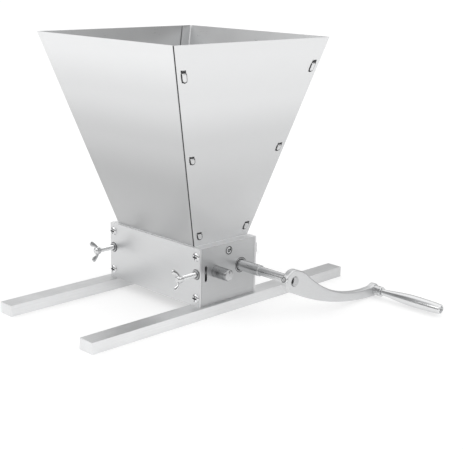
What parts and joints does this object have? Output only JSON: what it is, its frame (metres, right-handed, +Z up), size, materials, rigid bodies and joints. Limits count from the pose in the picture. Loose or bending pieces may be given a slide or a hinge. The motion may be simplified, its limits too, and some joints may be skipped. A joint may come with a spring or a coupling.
{
  "type": "grain mill",
  "caption": "Hand-cranked two-roller grain mill with a tapered sheet-metal hopper, a roller box on two long foot bars, eccentric gap adjusters and wing clamp screws.",
  "frame": {"origin": "on the surface the mill stands on, midway between the two foot bars and under the centre of the roller box, in the middle of the outlet for ground grain", "axes": "+X along the rollers towards the crank, +Y along the foot bars from the wing screws to the back, +Z up"},
  "size_m": [0.3764, 0.397, 0.31],
  "materials": {
    "foot_bar": "brushed",
    "end_plate": "fine ground",
    "side_plate": "fine brushed sheet",
    "hopper_sheet": "smooth bright sheet",
    "feed_guide": "smooth sheet",
    "roller_steel": "milled flutes, lightly oiled",
    "shaft_steel": "turned and polished",
    "bush_steel": "machined steel",
    "washer_bronze": "machined bronze",
    "crank_steel": "satin",
    "grip_steel": "turned and polished",
    "screw_steel": "bright plated",
    "wing_chrome": "bright plated",
    "adjuster_steel": "turned and polished",
    "badge_metal": "engraved disc"
  },
  "bodies": {
    "root": {"foot_bar_left": "foot_bar", "foot_bar_right": "foot_bar", "end_plate_left": "end_plate", "end_plate_right": "end_plate", "side_plate_front": "side_plate", "side_plate_back": "side_plate", "side_screws_front": "screw_steel", "side_screws_back": "screw_steel", "foot_screws": "screw_steel", "drive_bush_left": "bush_steel", "drive_bush_right": "bush_steel", "thread_inserts": "screw_steel", "feed_guide_front": "feed_guide", "feed_guide_back": "feed_guide", "turn_badge": "badge_metal"},
    "hopper": {"hopper_panel_front": "hopper_sheet", "hopper_panel_back": "hopper_sheet", "hopper_panel_left": "hopper_sheet", "hopper_panel_right": "hopper_sheet"},
    "drive": {"drive_roller": "roller_steel", "drive_shaft": "shaft_steel", "drive_washers": "washer_bronze", "crank_arm": "crank_steel", "crank_clamp_screw": "screw_steel", "grip_spindle": "shaft_steel", "grip_end_screw": "screw_steel"},
    "grip": {"crank_grip": "grip_steel"},
    "adjuster_right": {"adjuster_right": "adjuster_steel"},
    "adjuster_left": {"adjuster_left": "adjuster_steel"},
    "idler": {"idler_roller": "roller_steel", "idler_shaft": "shaft_steel", "idler_washers": "washer_bronze"},
    "wing_stud_right": {"wing_stud_right": "screw_steel"},
    "wing_head_right": {"wing_head_right": "wing_chrome"},
    "wing_stud_left": {"wing_stud_left": "screw_steel"},
    "wing_head_left": {"wing_head_left": "wing_chrome"}
  },
  "joints": [
    {"name": "crank_turn", "type": "hinge", "parent": "root", "child": "drive", "pos_m": [0, 0.0198, 0.0508], "axis": [1, 0, 0], "continuous": true},
    {"name": "grip_spin", "type": "hinge", "parent": "drive", "child": "grip", "pos_m": [0.18, 0.16782, 0.0083], "axis": [1, 0, 0], "continuous": true},
    {"name": "gap_adjust", "type": "hinge", "parent": "root", "child": "adjuster_right", "pos_m": [0.074, -0.0198, 0.0508], "axis": [1, 0, 0], "range_deg": [-50, 50]},
    {"name": "gap_adjust_left", "type": "hinge", "parent": "root", "child": "adjuster_left", "pos_m": [-0.074, -0.0198, 0.0508], "axis": [1, 0, 0], "range_deg": [-50, 50]},
    {"name": "idler_turn", "type": "hinge", "parent": "adjuster_right", "child": "idler", "pos_m": [0, -0.0198, 0.0492], "axis": [1, 0, 0], "continuous": true},
    {"name": "wing_slide_right", "type": "slide", "parent": "root", "child": "wing_stud_right", "axis": [0, -1, 0], "range_m": [0, 0.0031]},
    {"name": "wing_turn_right", "type": "hinge", "parent": "wing_stud_right", "child": "wing_head_right", "pos_m": [0.074, -0.072, 0.0508], "axis": [0, -1, 0], "range_deg": [0, 1080]},
    {"name": "wing_slide_left", "type": "slide", "parent": "root", "child": "wing_stud_left", "axis": [0, -1, 0], "range_m": [0, 0.0031]},
    {"name": "wing_turn_left", "type": "hinge", "parent": "wing_stud_left", "child": "wing_head_left", "pos_m": [-0.074, -0.072, 0.0508], "axis": [0, -1, 0], "range_deg": [0, 1080]},
    {"name": "hopper_lift", "type": "slide", "parent": "root", "child": "hopper", "axis": [0, 0, 1], "range_m": [0, 0.06]}
  ],
  "couplings": [
    {"joint": "idler_turn", "follows": "crank_turn", "ratio": -1},
    {"joint": "gap_adjust_left", "follows": "gap_adjust", "ratio": 1},
    {"joint": "wing_slide_right", "follows": "wing_turn_right", "m_per_rad": 0.00015915},
    {"joint": "wing_slide_left", "follows": "wing_turn_left", "m_per_rad": 0.00015915}
  ]
}
